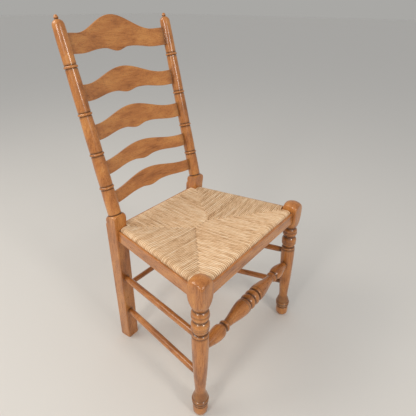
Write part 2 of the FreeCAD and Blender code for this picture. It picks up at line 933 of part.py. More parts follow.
def export_chair(pieces):
    """Moves the chair over the origin and writes one file for each piece."""
    outline = Part.makeCompound(list(pieces.values())).optimalBoundingBox()
    shift = Vector(-outline.Center.x, -outline.Center.y, -outline.ZMin)
    os.makedirs("parts", exist_ok=True)
    for name, piece in pieces.items():
        piece.translate(shift)
        piece.exportStep("parts/" + name + ".step")
    print("overall", [round(size, 1) for size in (outline.XLength, outline.YLength, outline.ZLength)])
    print("moved by", [round(step, 2) for step in shift])


export_chair(build_chair())
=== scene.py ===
import math
import random

import bpy
import numpy
from mathutils import Matrix, Vector, noise


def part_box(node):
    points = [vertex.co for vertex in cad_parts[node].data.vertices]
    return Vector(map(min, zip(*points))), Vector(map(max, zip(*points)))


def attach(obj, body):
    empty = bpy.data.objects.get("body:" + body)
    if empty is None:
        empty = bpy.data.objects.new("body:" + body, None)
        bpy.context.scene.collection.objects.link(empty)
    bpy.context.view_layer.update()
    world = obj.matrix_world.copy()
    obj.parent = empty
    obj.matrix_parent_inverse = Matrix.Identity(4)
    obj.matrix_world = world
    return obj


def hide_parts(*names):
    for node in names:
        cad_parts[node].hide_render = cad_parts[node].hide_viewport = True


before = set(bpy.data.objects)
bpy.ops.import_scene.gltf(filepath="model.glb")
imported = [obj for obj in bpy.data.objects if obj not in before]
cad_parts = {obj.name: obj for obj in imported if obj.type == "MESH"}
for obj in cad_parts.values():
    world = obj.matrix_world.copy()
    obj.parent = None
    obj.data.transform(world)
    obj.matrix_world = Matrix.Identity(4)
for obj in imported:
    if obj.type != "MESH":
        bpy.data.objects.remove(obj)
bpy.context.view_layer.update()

# Ladderback chair with a rush seat. Sizes are in millimetres and turned into metres by mm.
# Pieces are shaped with y = 0 through the front legs, then moved back to legLine.
mm = 0.001
dice = random.Random(11)
headWidth = 52.0
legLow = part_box("front_leg_left")[0]
legLine = legLow.y + headWidth / 2 * mm
bpy.ops.object.select_all(action="DESELECT")
print("frame loaded", len(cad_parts), "nodes")


# Small helpers

def pickOnly(piece):
    bpy.ops.object.select_all(action="DESELECT")
    piece.select_set(True)
    bpy.context.view_layer.objects.active = piece


def reshape(piece, rule):
    # moves every vertex to where the rule, in mm, puts it
    for vertex in piece.data.vertices:
        vertex.co = Vector(rule(vertex.co / mm)) * mm


def ease(value, low, high):
    share = min(1.0, max(0.0, (value - low) / (high - low)))
    return share * share * (3 - 2 * share)


def roundTo(outline, height, radius, bulge, steps=8):
    # a circular stretch up to (height, radius) that stands out of its chord by bulge
    startHeight, startRadius = outline[-1]
    rise, growth = height - startHeight, radius - startRadius
    chord = math.hypot(rise, growth)
    half = 2 * math.atan(2 * bulge / chord)
    curve = chord / (2 * math.sin(half))
    for step in range(1, steps + 1):
        spin = half * (2 * step / steps - 1)
        along = curve * math.sin(spin) + chord / 2
        out = curve * (math.cos(spin) - math.cos(half))
        outline.append((
            startHeight + (along * rise - out * growth) / chord,
            startRadius + (along * growth + out * rise) / chord,
        ))


def fairTo(outline, stations, spacing=4.0):
    # a fair curve through the stations that never overshoots them
    marks = [outline[-1]] + stations
    slopes = [(b[1] - a[1]) / (b[0] - a[0]) for a, b in zip(marks, marks[1:])]
    leans = [slopes[0]]
    for before, after in zip(slopes, slopes[1:]):
        leans.append(2 * before * after / (before + after) if before * after > 0 else 0.0)
    leans.append(slopes[-1])
    for number, (low, high) in enumerate(zip(marks, marks[1:])):
        run = high[0] - low[0]
        steps = max(2, round(run / spacing))
        for step in range(1, steps + 1):
            t = step / steps
            radius = (
                low[1] * (1 + 2 * t) * (1 - t) ** 2 + leans[number] * run * t * (1 - t) ** 2
                + high[1] * t * t * (3 - 2 * t) - leans[number + 1] * run * t * t * (1 - t)
            )
            outline.append((low[0] + run * t, radius))


def radiusAt(outline, height):
    for (low, first), (high, second) in zip(outline, outline[1:]):
        if low <= height <= high and high > low:
            return first + (second - first) * (height - low) / (high - low)
    return outline[-1][1]


def score(outline, height, depth=0.8, width=2.2):
    # cuts a fine V line into a turned outline
    notch = [(height + width / 2 * k, radiusAt(outline, height + width / 2 * k) - depth * (1 - abs(k)))
             for k in (-1, -0.5, 0, 0.5, 1)]
    kept = [stop for stop in outline if abs(stop[0] - height) > width / 2 + 0.1]
    outline[:] = [s for s in kept if s[0] < height] + notch + [s for s in kept if s[0] > height]


def turn(name, outline, columns=72):
    # draws the half outline as a chain of edges and spins it, as on a lathe
    bpy.ops.object.select_all(action="DESELECT")
    bpy.ops.mesh.primitive_plane_add(size=mm)
    piece = bpy.context.object
    piece.name = piece.data.name = name
    bpy.ops.object.mode_set(mode="EDIT")
    bpy.ops.mesh.merge(type="CENTER")
    height, radius = outline[0]
    bpy.ops.transform.translate(value=(radius * mm, 0, height * mm))
    for nextHeight, nextRadius in outline[1:]:
        step = ((nextRadius - radius) * mm, 0, (nextHeight - height) * mm)
        bpy.ops.mesh.extrude_region_move(TRANSFORM_OT_translate={"value": step})
        height, radius = nextHeight, nextRadius
    bpy.ops.mesh.select_all(action="SELECT")
    bpy.ops.mesh.spin(steps=columns, angle=2 * math.pi, center=(0, 0, 0), axis=(0, 0, 1))
    bpy.ops.mesh.select_all(action="SELECT")
    bpy.ops.mesh.remove_doubles(threshold=0.02 * mm)
    bpy.ops.mesh.normals_make_consistent(inside=False)
    bpy.ops.object.mode_set(mode="OBJECT")
    return piece


def aim(piece, start, end):
    # lays a piece that stands on the origin along the line from start to end
    way = (Vector(end) - Vector(start)).normalized()
    turned = way.to_track_quat("Z", "Y").to_matrix().to_4x4()
    piece.data.transform(Matrix.Translation(Vector(start) * mm) @ turned)


def copyAcross(piece, name):
    # the sitter's right-hand twin, with its own mesh
    twin = piece.copy()
    twin.data = piece.data.copy()
    twin.name = twin.data.name = name
    bpy.context.scene.collection.objects.link(twin)
    twin.data.transform(Matrix.Scale(-1, 4, (1, 0, 0)))
    twin.data.flip_normals()
    return twin


def markRelief(piece, full=0.5):
    # an arris is rubbed pale; the layer of glaze and painted shade starts empty
    mesh = piece.data
    count = len(mesh.vertices)
    place = numpy.zeros(count * 3)
    normal = numpy.zeros(count * 3)
    ends = numpy.zeros(len(mesh.edges) * 2, int)
    mesh.vertices.foreach_get("co", place)
    mesh.vertices.foreach_get("normal", normal)
    mesh.edges.foreach_get("vertices", ends)
    place, normal = place.reshape(-1, 3) / mm, normal.reshape(-1, 3)
    first, second = ends[0::2], ends[1::2]
    bend = numpy.zeros(count)
    links = numpy.maximum(numpy.bincount(ends, minlength=count), 1)
    for here, there in ((first, second), (second, first)):
        step = place[there] - place[here]
        length = numpy.maximum((step * step).sum(1), 0.04)
        numpy.add.at(bend, here, 2 * (step * normal[here]).sum(1) / length)
    bend /= links
    for name, value in (("glaze", bend * 0), ("wear", (-bend - 0.1) / full)):
        layer = mesh.attributes.new(name, "FLOAT", "POINT")
        layer.data.foreach_set("value", numpy.clip(value, 0, 1).astype(numpy.float32))


def glazeAndShadeHollows(piece, outline, reach=5.0, full=1.2, spread=0.7):
    # glaze, with painted shade, fills what lies below the turned outline on both sides; piece still stands on
    # its axis
    markRelief(piece)
    marks = sorted(outline)
    low, high = marks[0][0], marks[-1][0]
    count = int((high - low) / 0.4) + 2
    levels = numpy.linspace(low, high, count)
    radii = numpy.interp(levels, [m[0] for m in marks], [m[1] for m in marks])
    window = max(1, int(reach / (levels[1] - levels[0])))
    amount = numpy.zeros(count)
    # the groove itself, and a soft shade round it
    for share, span in ((1.0, window), (0.3, window * 4)):
        below = numpy.array([radii[max(0, i - span):i + 1].max() for i in range(count)])
        above = numpy.array([radii[i:i + span + 1].max() for i in range(count)])
        depth = (numpy.minimum(below, above) - radii) / (full * span / window)
        amount += share * numpy.clip(depth, 0, 1)
    edge = max(1, int(spread / (levels[1] - levels[0])))
    amount = numpy.array([amount[max(0, i - edge):i + edge + 1].max() for i in range(count)])
    for vertex, value in zip(piece.data.vertices, piece.data.attributes["glaze"].data):
        value.value = min(0.82, float(numpy.interp(vertex.co.z / mm, levels, amount)))


def darkenNear(piece, gap, reach=7.0, soft=3.0, full=0.9):
    # painted shade, with glaze, also gathers at a joint; gap gives a vertex's distance from the other piece
    # in mm
    layer = piece.data.attributes["glaze"]
    for vertex, value in zip(piece.data.vertices, layer.data):
        away = gap(vertex.co / mm)
        near = full * max(1 - ease(away, 0.0, reach), 0.4 * (1 - ease(away, 0.0, reach * soft)))
        value.value = max(value.value, near)


def finish(piece, material, slotName, *nodes):
    piece.data.transform(Matrix.Translation((0, legLine, 0)))
    pickOnly(piece)
    bpy.ops.object.shade_smooth_by_angle(angle=math.radians(42))
    piece.data.materials.clear()
    piece.data.materials.append(material)
    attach(piece, "root")
    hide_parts(*nodes)


# Materials

def hexColour(code):
    parts = [int(code[i:i + 2], 16) / 255 for i in (0, 2, 4)]
    return [p / 12.92 if p <= 0.04045 else ((p + 0.055) / 1.055) ** 2.4 for p in parts] + [1.0]


def newMaterial(name):
    material = bpy.data.materials.new(name)
    material.use_nodes = True
    material.node_tree.nodes.clear()
    return material, material.node_tree


def addNode(tree, kind, settings=None, **links):
    # settings name a property or a socket; a link's name is the socket's, with _ for a space
    node = tree.nodes.new("ShaderNode" + kind)
    for key, value in (settings or {}).items():
        if key == "stops":
            while len(node.color_ramp.elements) < len(value):
                node.color_ramp.elements.new(0.5)
            for element, (position, code) in zip(node.color_ramp.elements, value):
                element.position = position
                element.color = hexColour(code) if isinstance(code, str) else (code, code, code, 1)
        elif isinstance(key, str) and hasattr(node, key):
            setattr(node, key, value)
        else:
            node.inputs[key].default_value = value
    for key, source in links.items():
        socket = int(key[1:]) if key[0] == "i" and key[1:].isdigit() else key.replace("_", " ")
        tree.links.new(source, node.inputs[socket])
    return node


# Beech stained a honey brown, with a dark glaze wiped into the turnings and a rubbed lacquer over it: warm,
# streaky along the grain, dark in the grooves from the glaze and from painted shade, with painted shade also
# at the joints, soft gloss on top.
beech = dict(
    dark="8F5320", mid="B87438", light="CE8C49", glaze="2A150B", fleck="6B3A17", rubbed="CF9A63",
    figure=30.0, streak=3.0, streakLength=55.0, fleckWidth=1.3, fleckLength=5.5,
    lacquer=0.3,
)


def stainedBeech(name, grainTurn=(0, 0, 0), shift=0.0, tint=0.0):
    material, tree = newMaterial(name)
    place = addNode(tree, "TexCoord").outputs["Object"]
    turned = addNode(tree, "Mapping", {"Rotation": grainTurn, "Location": (shift, shift * 0.7, shift * 1.3)},
                     Vector=place).outputs[0]
    figure = addNode(tree, "Mapping", {"Scale": (1, 1, 0.3)}, Vector=turned).outputs[0]
    drift = addNode(tree, "TexNoise", {"Scale": 1000 / beech["figure"], "Detail": 3.0, "Roughness": 0.55,
                                       "Distortion": 0.4}, Vector=figure).outputs["Fac"]
    fine = addNode(tree, "Mapping", {"Scale": (1, 1, beech["streak"] / beech["streakLength"])},
                   Vector=turned).outputs[0]
    streak = addNode(tree, "TexNoise", {"Scale": 1000 / beech["streak"], "Detail": 3.0, "Roughness": 0.6},
                     Vector=fine).outputs["Fac"]
    # ray flecks are really 0.3 mm wide; drawn coarser so that they show
    dashes = addNode(tree, "Mapping", {"Scale": (1, 1, beech["fleckWidth"] / beech["fleckLength"])},
                     Vector=turned).outputs[0]
    fleck = addNode(tree, "TexNoise", {"Scale": 1000 / beech["fleckWidth"], "Detail": 1.0},
                    Vector=dashes).outputs["Fac"]
    fleckDark = addNode(tree, "MapRange", {"From Min": 0.56, "From Max": 0.72, "To Max": 0.55},
                        Value=fleck).outputs[0]
    blend = addNode(tree, "Mix", {"data_type": "FLOAT", "Factor": 0.3}, A=drift, B=streak).outputs[0]
    tinted = addNode(tree, "Math", {"operation": "ADD", 1: tint}, i0=blend).outputs[0]
    stain = [(0.33, beech["dark"]), (0.5, beech["mid"]), (0.66, beech["light"])]
    colour = addNode(tree, "ValToRGB", {"stops": stain}, Fac=tinted).outputs["Color"]
    flecked = addNode(tree, "Mix", {"data_type": "RGBA", 7: hexColour(beech["fleck"])},
                      i0=fleckDark, i6=colour).outputs[2]
    rubbed = addNode(tree, "Attribute", {"attribute_name": "wear"}).outputs["Fac"]
    paler = addNode(tree, "Math", {"operation": "MULTIPLY", 1: 0.3}, i0=rubbed).outputs[0]
    worn = addNode(tree, "Mix", {"data_type": "RGBA", 7: hexColour(beech["rubbed"])},
                   i0=paler, i6=flecked).outputs[2]
    # the glaze colour paints the shade of the hollows and joints as well as the glaze itself
    hollow = addNode(tree, "Attribute", {"attribute_name": "glaze"}).outputs["Fac"]
    patchy = addNode(tree, "MapRange", {"From Min": 0.3, "From Max": 0.7, "To Min": 0.7, "To Max": 1.0},
                     Value=streak).outputs[0]
    glazeAndShadeAmount = addNode(tree, "Math", {"operation": "MULTIPLY"}, i0=hollow, i1=patchy).outputs[0]
    final = addNode(tree, "Mix", {"data_type": "RGBA", 7: hexColour(beech["glaze"])},
                    i0=glazeAndShadeAmount, i6=worn).outputs[2]
    rough = addNode(tree, "MapRange", {"From Min": 0.3, "From Max": 0.7, "To Min": beech["lacquer"] - 0.06,
                                       "To Max": beech["lacquer"] + 0.1}, Value=streak).outputs[0]
    relief = addNode(tree, "Math", {"operation": "MULTIPLY_ADD", 1: -0.5}, i0=fleckDark, i2=streak).outputs[0]
    bump = addNode(tree, "Bump", {"Strength": 0.18, "Distance": 0.2 * mm}, Height=relief).outputs[0]
    shader = addNode(tree, "BsdfPrincipled", {"IOR": 1.5, "Coat Weight": 0.55, "Coat Roughness": 0.12},
                     Base_Color=final, Roughness=rough, Normal=bump)
    tree.links.new(shader.outputs[0], addNode(tree, "OutputMaterial").inputs["Surface"])
    return material


upright = (0, 0, 0)
acrossGrain = (0, -math.pi / 2, 0)
frontBackGrain = (math.pi / 2, 0, 0)


# What enters the legs; the legs get painted shade and glaze there too
frontStretcher = dict(height=241.0, half=236.3, tenon=14.0, tenonRadius=10.5)
sideStretchers = dict(
    thick=10.4, front=9.6, rear=8.2, sunk=14.0, frontStart=7.7, frontFace=21.0, rearFace=374.0,
    upper=(289.0, 268.0), lower=(149.0, 122.0),
)
rearBar = dict(height=213.0, radius=9.0)
seatStrip = dict(middle=441.5, halfHeight=18.5)


# Front legs: turned below, square and domed above
frontLeg = dict(
    spacing=520.0, headWidth=headWidth, corner=37.0, dome=28.0, top=491.5, headFrom=394.0, crisp=15,
)


def frontLegOutline():
    line = [(0, 0), (0, 12.0)]
    roundTo(line, 13.5, 22.2, 2.6, 8)
    fairTo(line, [(24, 22.6), (35, 21.8)])
    roundTo(line, 37.6, 19.4, 0.6, 4)
    line += [(39.6, 18.6), (41.2, 20.0)]                       # groove above the pad
    roundTo(line, 49.6, 22.8, 3.0, 12)                         # lip of the foot
    line += [(50.4, 22.0), (51.2, 22.2)]
    roundTo(line, 60.5, 22.6, 3.1, 12)                         # ring above the lip
    line.append((61.3, 21.9))
    fairTo(line, [(64, 22.7), (69, 21.9), (75, 19.7), (81, 17.4), (87, 16.1), (93, 15.8), (99, 15.8)], 2.0)
    fairTo(line, [(106, 16.3), (128, 17.9), (168, 20.6), (207, 22.3), (245, 23.5), (275, 24.2),
                  (300, 23.9)], 7.0)
    line += [(301.4, 22.9), (302.6, 22.6)]
    roundTo(line, 310, 21.2, 1.5, 8)                           # collar ring
    line += [(311.6, 18.9), (314, 18.8), (316, 20.2)]
    roundTo(line, 336, 25.2, 2.2, 12)                          # lower bead
    score(line, 329, 0.8, 2.4)
    roundTo(line, 352.6, 20.0, 2.4, 10)
    line += [(354.4, 18.7), (357, 18.8), (358.6, 20.4)]
    roundTo(line, 373, 25.4, 1.8, 12)                          # upper bead
    line += [(374.4, 24.3), (375.8, 24.2)]
    roundTo(line, 389, 20.4, 2.0, 10)
    line += [(390.6, 19.4), (393, 19.6)]
    base = frontLeg["top"] - frontLeg["dome"]
    fairTo(line, [(397, 22.0), (402, 25.0), (408, 28.0), (415, 30.8), (424, 33.3), (436, 35.3), (449, 36.6),
                  (base, frontLeg["corner"])], 2.5)
    for step in range(1, 19):
        spin = math.pi / 2 * step / 18
        line.append((base + frontLeg["dome"] * math.sin(spin), frontLeg["corner"] * math.cos(spin)))
    line[-1] = (frontLeg["top"], 0)
    return line


def squareHead(place):
    # the turned head is pared to a soft square, its corners left round
    if place.z < frontLeg["headFrom"]:
        return place
    half = frontLeg["headWidth"] / 2
    radius = math.hypot(place.x, place.y)
    if radius < 0.01:
        return place
    flat = half * radius / max(abs(place.x), abs(place.y))
    pared = (radius ** -frontLeg["crisp"] + flat ** -frontLeg["crisp"]) ** (-1 / frontLeg["crisp"])
    return place.x * pared / radius, place.y * pared / radius, place.z


frontLegLeft = turn("turnedFrontLegLeft", frontLegOutline(), 96)
glazeAndShadeHollows(frontLegLeft, frontLegOutline(), spread=1.2)
reshape(frontLegLeft, squareHead)
frontLegLeft.data.transform(Matrix.Translation((frontLeg["spacing"] / 2 * mm, 0, 0)))


farAway = 99.0                                   # stands for no joint on this side


def gapToFrontJoints(place):
    # stretchers and seat strips that enter a front leg
    x = place.x - frontLeg["spacing"] / 2
    stripAway = abs(place.z - seatStrip["middle"]) - seatStrip["halfHeight"]
    gaps = [farAway]
    if x < 0:
        stretcherAway = math.hypot(place.y, place.z - frontStretcher["height"])
        gaps.append(stretcherAway - frontStretcher["tenonRadius"])
        gaps.append(max(abs(place.y + 12.3) - 3.5, stripAway))
    if place.y > 0:
        for level in ("upper", "lower"):
            gaps.append(math.hypot(x, place.z - sideStretchers[level][0]) - sideStretchers["front"])
        gaps.append(max(abs(x - 9) - 4, stripAway))
    return min(gaps)


darkenNear(frontLegLeft, gapToFrontJoints, 4, full=0.7)
# darker again round the ankle and the top of the foot
darkenNear(frontLegLeft, lambda place: abs(place.z - 72) - 10, 18, full=0.55)
frontLegRight = copyAcross(frontLegLeft, "turnedFrontLegRight")
finish(frontLegLeft, stainedBeech("stainedBeechLegLeft", upright, 0.31), "stained_wood", "front_leg_left")
finish(frontLegRight, stainedBeech("stainedBeechLegRight", upright, 0.83), "stained_wood", "front_leg_right")
print("front legs turned")


# Rear posts: a square leg, round-shouldered above the seat, and a raked turned post
rearPost = dict(
    foot=(175.5, 399.0), bend=(199.0, 388.5), bendHeight=508.5, top=(214.5, 536.5), topHeight=1074.7,
    footWidth=43.0, blockWidth=46.5, arris=3.0, shoulderDrop=13.0, lowRadius=20.8, highRadius=17.4,
    rings=(93.1, 199.1, 320.6, 456.6), ringHalf=4.0, ringRise=2.5,
)
rake = math.radians(14.65)
bendPoint = Vector((*rearPost["bend"], rearPost["bendHeight"]))
postTop = Vector((*rearPost["top"], rearPost["topHeight"]))
postWay = (postTop - bendPoint).normalized()
postLength = (postTop - bendPoint).length


def legCentre(height):
    share = height / rearPost["bendHeight"]
    (x0, y0), (x1, y1) = rearPost["foot"], rearPost["bend"]
    return Vector((x0 + (x1 - x0) * share, y0 + (y1 - y0) * share, height))


def legHalf(height):
    low, high = rearPost["footWidth"], rearPost["blockWidth"]
    return (low + (high - low) * height / rearPost["bendHeight"]) / 2


def postRadius(along):
    share = along / postLength
    return rearPost["lowRadius"] + (rearPost["highRadius"] - rearPost["lowRadius"]) * share


def rearPostOutline():
    # heights from the floor, and past the bend measured up the raked post
    bend = rearPost["bendHeight"]
    cut = rearPost["arris"] * (math.sqrt(2) - 1)
    corner = [half * math.sqrt(2) - cut for half in (legHalf(0), legHalf(bend))]
    line = [(0, 0), (0, corner[0] - 2), (2, corner[0])]
    low = bend - rearPost["shoulderDrop"]
    for step in range(1, 111):
        share = step / 110
        line.append((2 + (low - 2) * share, corner[0] + (corner[1] - corner[0]) * share))
    roundTo(line, bend + 2.2, 20.2, 3.4, 14)
    line += [(bend + 2.6, 18.7), (bend + 4.2, 18.6)]
    roundTo(line, bend + 6.6, 20.7, 0.6, 5)
    start = 6.6
    for place in list(rearPost["rings"]) + [postLength - 8]:
        end = place - rearPost["ringHalf"] - 2.4
        for step in range(1, 23):
            share = step / 22
            along = start + (end - start) * share
            line.append((bend + along, postRadius(along) - 0.1 + 0.55 * math.sin(math.pi * share)))
        if place > postLength - 10:
            break
        radius = postRadius(place)
        low, high = place - rearPost["ringHalf"], place + rearPost["ringHalf"]
        line += [(bend + low - 1.4, radius - 1.3), (bend + low - 0.4, radius - 1.3),
                 (bend + low, radius - 0.5)]
        roundTo(line, bend + high, radius - 0.5, rearPost["ringRise"] + 0.5, 10)
        line += [(bend + high + 0.4, radius - 1.3), (bend + high + 1.4, radius - 1.3),
                 (bend + high + 2.4, radius - 0.1)]
        start = high + 2.4
    top = bend + postLength
    roundTo(line, top, 6.4, 2.6, 8)
    line += [(top + 0.6, 5.3), (top + 1.6, 5.2)]
    roundTo(line, top + 8.6, 5.4, 1.5, 8)
    roundTo(line, top + 13, 0, 1.6, 6)
    return line


def leanPost(place):
    bend = rearPost["bendHeight"]
    raked = ease(place.z, bend - 34, bend - rearPost["shoulderDrop"])
    centre = legCentre(place.z).lerp(bendPoint + postWay * (place.z - bend), raked)
    if place.z <= bend - 34:
        spot = centre + Vector((place.x, place.y, 0))
    else:
        side = Vector((1, 0, 0)) - postWay * postWay.x
        side.normalize()
        back = postWay.cross(side)
        standing = Vector((place.x, place.y, 0))
        leaning = side * place.x + back * place.y
        spot = centre + standing.lerp(leaning, raked)
    if place.z <= bend + 2.3:                      # the square leg and its block
        middle, half = legCentre(spot.z), legHalf(spot.z)
        spot.x = min(middle.x + half, max(middle.x - half, spot.x))
        spot.y = min(middle.y + half, max(middle.y - half, spot.y))
    return spot


slats = dict(
    count=5, thickness=9.5, inset=4.0, edge=2.6,
    endDepths=(39.8, 43.0, 48.6, 49.6, 59.0), gaps=(56.3, 66.6, 70.3, 87.4), firstGap=29.6,
    crestRises=(25.0, 24.5, 33.0, 39.5, 53.5), crestReaches=(172, 172, 170, 168, 157),
    arches=(8.5, 11.0, 12.8, 13.5, 11.0), drops=(-2.0, -4.5, -4.0, -5.5, 0.0),
    bows=(27, 30, 33, 33.5, 32),
    dropHalf=48.0, archFlat=60.0, backLength=585.2,
)


def slatPlace(number):
    before = sum(slats["endDepths"][:number]) + sum(slats["gaps"][:number])
    return slats["firstGap"] + before + slats["endDepths"][number] / 2


def gapToRearJoints(place):
    # slats that enter a post, and stretchers and seat strips that enter the square leg
    if place.z > rearPost["bendHeight"]:
        along = (place - bendPoint).dot(postWay)
        out = place - bendPoint - postWay * along
        if out.x > 0:
            return farAway
        back = out.y * math.cos(rake) - out.z * math.sin(rake)
        return min(max(abs(along - slatPlace(n)) - slats["endDepths"][n] / 2, abs(back) - 4.8)
                   for n in range(slats["count"]))
    middle = legCentre(place.z)
    stripAway = abs(place.z - seatStrip["middle"]) - seatStrip["halfHeight"]
    gaps = [farAway]
    if place.y < middle.y - 12:
        for level in ("upper", "lower"):
            away = math.hypot(place.x - middle.x, place.z - sideStretchers[level][1])
            gaps.append(away - sideStretchers["rear"])
        gaps.append(max(abs(place.x - middle.x - 6) - 4, stripAway))
    if place.x < middle.x - 12:
        gaps.append(math.hypot(place.y - middle.y, place.z - rearBar["height"]) - rearBar["radius"])
        gaps.append(max(abs(place.y - middle.y - 10) - 4, stripAway))
    return min(gaps)


rearPostLeft = turn("rakedRearPostLeft", rearPostOutline(), 96)
glazeAndShadeHollows(rearPostLeft, rearPostOutline())
reshape(rearPostLeft, leanPost)
darkenNear(rearPostLeft, gapToRearJoints, 3, full=0.5)
rearPostRight = copyAcross(rearPostLeft, "rakedRearPostRight")
postGrain = (-rake * 0.5, 0, 0)
finish(rearPostLeft, stainedBeech("stainedBeechPostLeft", postGrain, 1.37),
       "stained_wood", "rear_post_left")
finish(rearPostRight, stainedBeech("stainedBeechPostRight", postGrain, 2.11),
       "stained_wood", "rear_post_right")
print("rear posts turned")


# Stretchers

def frontStretcherOutline():
    half = [(0, 19.2)]
    roundTo(half, 25.6, 19.6, 6.45, 14)
    half += [(26.8, 19.0), (28.2, 19.4)]
    roundTo(half, 34, 25.0, 1.6, 7)
    fairTo(half, [(40, 25.5), (50, 25.3), (62, 24.1), (80, 21.2), (100, 17.4), (120, 14.0), (130, 12.8),
                  (135, 12.6)])
    score(half, 39, 0.7, 2.0)
    roundTo(half, 138.6, 13.8, -0.4, 4)
    roundTo(half, 150.4, 13.6, 4.6, 10)
    half += [(151.4, 12.8), (152.4, 13.0)]
    fairTo(half, [(157, 16.6), (163, 19.8), (170, 21.6), (178, 22.1), (188, 21.4), (200, 19.3), (213, 16.2),
                  (225, 13.1), (234, 11.0), (frontStretcher["half"] + 1, 10.6)])
    half += [(frontStretcher["half"] + frontStretcher["tenon"], frontStretcher["tenonRadius"])]
    whole = [(-height, radius) for height, radius in reversed(half[1:])] + half
    return [(whole[0][0], 0)] + whole + [(whole[-1][0], 0)]


def stretcherBar(name, start, end, thick, front, rear):
    # a slim turned bar, finest at the rear leg
    length = (Vector(end) - Vector(start)).length
    line = [(0, 0), (0, rear)]
    fairTo(line, [(18, rear), (46, thick - 0.2), (length * 0.5, thick + 0.2), (length - 32, thick - 0.2),
                  (length - 18, front), (length, front)], 12.0)
    line.append((length, 0))
    bar = turn(name, line, 48)
    markRelief(bar)
    aim(bar, start, end)
    return bar


stretcher = turn("turnedFrontStretcher", frontStretcherOutline(), 80)
glazeAndShadeHollows(stretcher, frontStretcherOutline(), spread=1.3)
aim(stretcher, (0, 0, frontStretcher["height"]), (1, 0, frontStretcher["height"]))
darkenNear(stretcher, lambda place: frontLeg["spacing"] / 2 - 23 - abs(place.x), 8)
finish(stretcher, stainedBeech("stainedBeechStretcher", acrossGrain, 3.7), "stained_wood", "front_stretcher")

for level in ("upper", "lower"):
    frontHeight, rearHeight = sideStretchers[level]
    frontAxis = Vector((frontLeg["spacing"] / 2, 0, frontHeight))
    rearAxis = legCentre(rearHeight)
    way = (rearAxis - frontAxis).normalized()
    rearEnd = rearAxis - way * (legHalf(rearHeight) - sideStretchers["sunk"])
    frontEnd = frontAxis + way * sideStretchers["frontStart"]
    left = stretcherBar("sideBar" + level.title() + "Left", rearEnd, frontEnd,
                        sideStretchers["thick"], sideStretchers["front"], sideStretchers["rear"])
    right = copyAcross(left, "sideBar" + level.title() + "Right")
    for bar, side in ((left, "left"), (right, "right")):
        darkenNear(bar, lambda place: place.y - sideStretchers["frontFace"], 9)
        darkenNear(bar, lambda place: sideStretchers["rearFace"] - place.y, 9)
        woodName = "stainedBeechBar" + level.title() + side.title()
        wood = stainedBeech(woodName, frontBackGrain, dice.uniform(4, 9), -0.05)
        finish(bar, wood, "stained_wood", "side_stretcher_" + level + "_" + side)

rearCentre = legCentre(rearBar["height"])
reach = rearCentre.x - legHalf(rearBar["height"]) + sideStretchers["sunk"]
bar = stretcherBar("rearBar", (-reach, rearCentre.y, rearBar["height"]),
                   (reach, rearCentre.y, rearBar["height"]),
                   rearBar["radius"], rearBar["radius"], rearBar["radius"])
darkenNear(bar, lambda place: reach - sideStretchers["sunk"] - abs(place.x), 9)
finish(bar, stainedBeech("stainedBeechRearBar", acrossGrain, 9.4, -0.06), "stained_wood", "rear_stretcher")
print("stretchers turned")


# Back slats, from the bottom one up
def crestHeight(number, x):
    reach = slats["crestReaches"][number]
    level = slats["endDepths"][number] / 2
    if abs(x) >= reach:
        return level
    return level + slats["crestRises"][number] * (1 + math.cos(math.pi * x / reach)) / 2


def lowerHeight(number, x):
    level = -slats["endDepths"][number] / 2
    reach, lift, drop = slats["crestReaches"][number], slats["arches"][number], slats["drops"][number]
    if abs(x) >= reach:
        return level
    if abs(x) > slats["archFlat"]:
        share = (abs(x) - slats["archFlat"]) / (reach - slats["archFlat"])
        return level + lift * (1 + math.cos(math.pi * share)) / 2
    if abs(x) >= slats["dropHalf"]:
        return level + lift
    return level + lift - (lift + drop) * (1 + math.cos(math.pi * x / slats["dropHalf"])) / 2


def backPoint(distance):
    return bendPoint.lerp(postTop, distance / slats["backLength"])


def cutSlat(number):
    # a flat board sawn to shape, thickened, its arrises rounded, then bowed and leaned back
    middle = backPoint(slatPlace(number))
    reach = middle.x - slats["inset"]
    bow = slats["bows"][number]
    sweep = (middle.x ** 2 + bow ** 2) / (2 * bow)
    bpy.ops.object.select_all(action="DESELECT")
    bpy.ops.mesh.primitive_grid_add(x_subdivisions=110, y_subdivisions=12, size=2)
    slat = bpy.context.object
    slat.name = slat.data.name = "bowedSlat" + str(number + 1)

    def saw(place):
        x = place.x * mm * reach
        share = (place.y * mm + 1) / 2
        low, high = lowerHeight(number, x), crestHeight(number, x)
        return x, 0, low + (high - low) * share

    reshape(slat, saw)
    board = slat.modifiers.new("board", "SOLIDIFY")
    board.thickness = slats["thickness"] * mm
    board.offset = 0
    arris = slat.modifiers.new("arris", "BEVEL")
    arris.width = slats["edge"] * mm
    arris.segments = 4
    arris.limit_method = "ANGLE"
    arris.angle_limit = math.radians(50)
    arris.use_clamp_overlap = False
    pickOnly(slat)
    bpy.ops.object.modifier_apply(modifier="board")
    bpy.ops.object.modifier_apply(modifier="arris")

    def bend(place):
        # the board's length stays along x; its middle stands back by the bow
        curve = math.sqrt(sweep * sweep - place.x * place.x)
        out = curve / sweep
        y = curve - (sweep - bow) + place.y * out
        x = place.x + place.y * place.x / sweep
        y, z = y * math.cos(rake) + place.z * math.sin(rake), place.z * math.cos(rake) - y * math.sin(rake)
        return x, middle.y + y, middle.z + z

    reshape(slat, bend)
    pickOnly(slat)
    bpy.ops.object.mode_set(mode="EDIT")
    bpy.ops.mesh.select_all(action="SELECT")
    bpy.ops.mesh.normals_make_consistent(inside=False)
    bpy.ops.object.mode_set(mode="OBJECT")
    markRelief(slat, 1.2)

    def gapToPost(place):
        along = (Vector((abs(place.x), place.y, place.z)) - bendPoint).dot(postWay)
        axis = bendPoint + postWay * along
        return (Vector((abs(place.x), place.y, place.z)) - axis).length - postRadius(along)

    # painted shade, with glaze, where the slat enters the post
    darkenNear(slat, gapToPost, 6, 4.0)
    return slat


